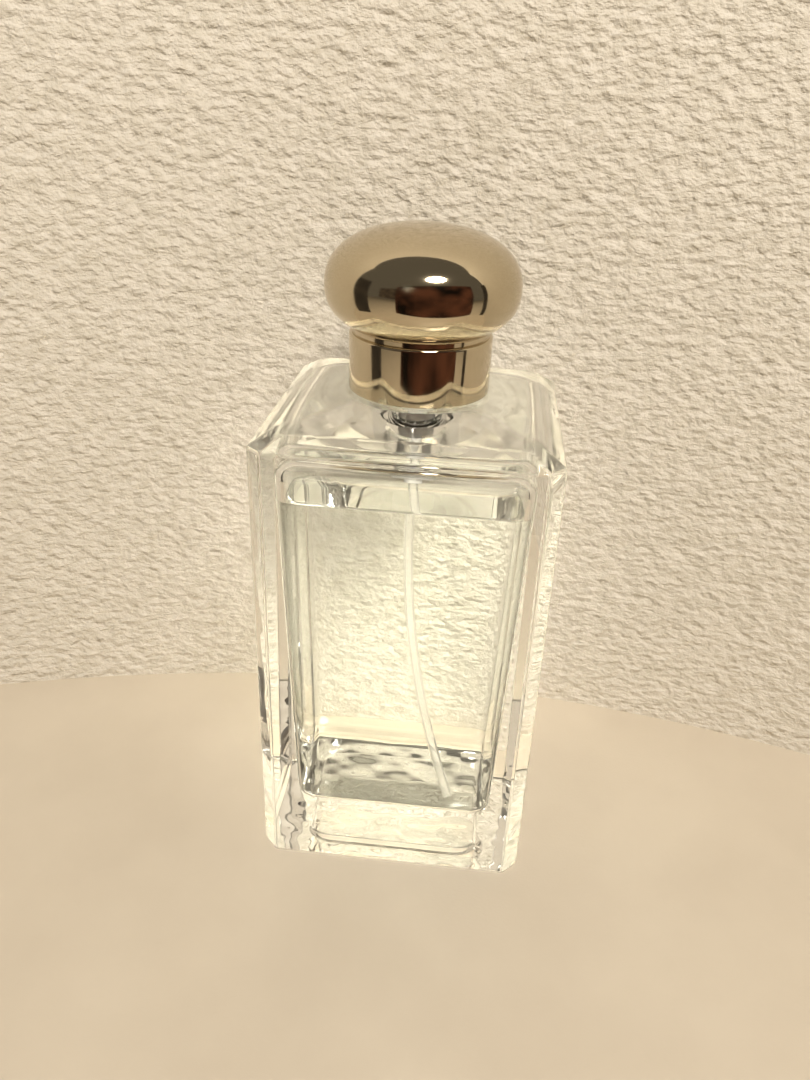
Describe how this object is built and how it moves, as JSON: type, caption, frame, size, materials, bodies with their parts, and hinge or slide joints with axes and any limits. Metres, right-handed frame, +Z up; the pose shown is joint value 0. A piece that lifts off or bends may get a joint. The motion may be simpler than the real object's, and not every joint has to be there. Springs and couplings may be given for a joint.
{
  "type": "perfume bottle",
  "caption": "Square heavy-based glass perfume bottle with bevelled rim, crimped spray pump under a collar, curled dip tube and a mushroom-shaped polished metal cap.",
  "frame": {"origin": "centre of the glass base, on the surface the bottle stands on", "axes": "+Z up along the neck and the cap, -Y the front face that the nozzle points to, +X to the right seen from the front"},
  "size_m": [0.056, 0.056, 0.1296],
  "materials": {
    "clear_glass": "polished clear flint glass with a faint green-grey tint",
    "perfume": "clear, nearly colourless liquid",
    "cap_metal": "mirror-polished metal with a warm champagne-nickel tone",
    "collar_metal": "bright anodised, warm silver",
    "button_metal": "bright anodised, warm silver",
    "ferrule_metal": "plain rolled sheet, satin",
    "spring_steel": "bright drawn wire",
    "ball_steel": "polished ball",
    "white_plastic": "moulded, semi-matte",
    "insert_plastic": "moulded, semi-matte",
    "tube_plastic": "clear extruded tube",
    "seal_rubber": "matt rubber"
  },
  "bodies": {
    "bottle": {"glass_bottle": "clear_glass", "perfume_liquid": "perfume", "dip_tube": "tube_plastic", "neck_gasket": "seal_rubber", "pump_housing": "white_plastic", "turret": "white_plastic", "stem_gasket": "seal_rubber", "crimp_ferrule": "ferrule_metal", "collar_liner": "white_plastic", "collar_sleeve": "collar_metal", "return_spring": "spring_steel"},
    "stem": {"pump_stem": "white_plastic", "plunger_pin": "white_plastic", "piston_spring": "spring_steel"},
    "piston": {"pump_piston": "white_plastic"},
    "button": {"button_core": "white_plastic", "button_shell": "button_metal", "nozzle_insert": "white_plastic"},
    "check_ball": {"check_ball": "ball_steel"},
    "cap": {"cap_insert": "insert_plastic", "cap_shell": "cap_metal"}
  },
  "joints": [
    {"name": "cap_lift", "type": "slide", "parent": "bottle", "child": "cap", "axis": [0, 0, 1], "range_m": [0, 0.045]},
    {"name": "stem_press", "type": "slide", "parent": "bottle", "child": "stem", "axis": [0, 0, -1], "range_m": [0, 0.0042], "stiffness_N_per_m": 2000, "springref_m": -0.002, "deforming": ["return_spring"]},
    {"name": "button_swivel", "type": "hinge", "parent": "stem", "child": "button", "pos_m": [0, 0, 0.1157], "axis": [0, 0, 1], "continuous": true},
    {"name": "piston_slip", "type": "slide", "parent": "stem", "child": "piston", "axis": [0, 0, 1], "range_m": [0, 0.0006], "stiffness_N_per_m": 3000, "springref_m": -0.0008, "deforming": ["piston_spring"]},
    {"name": "ball_lift", "type": "slide", "parent": "bottle", "child": "check_ball", "axis": [0, 0, 1], "range_m": [0, 0.0006]}
  ]
}
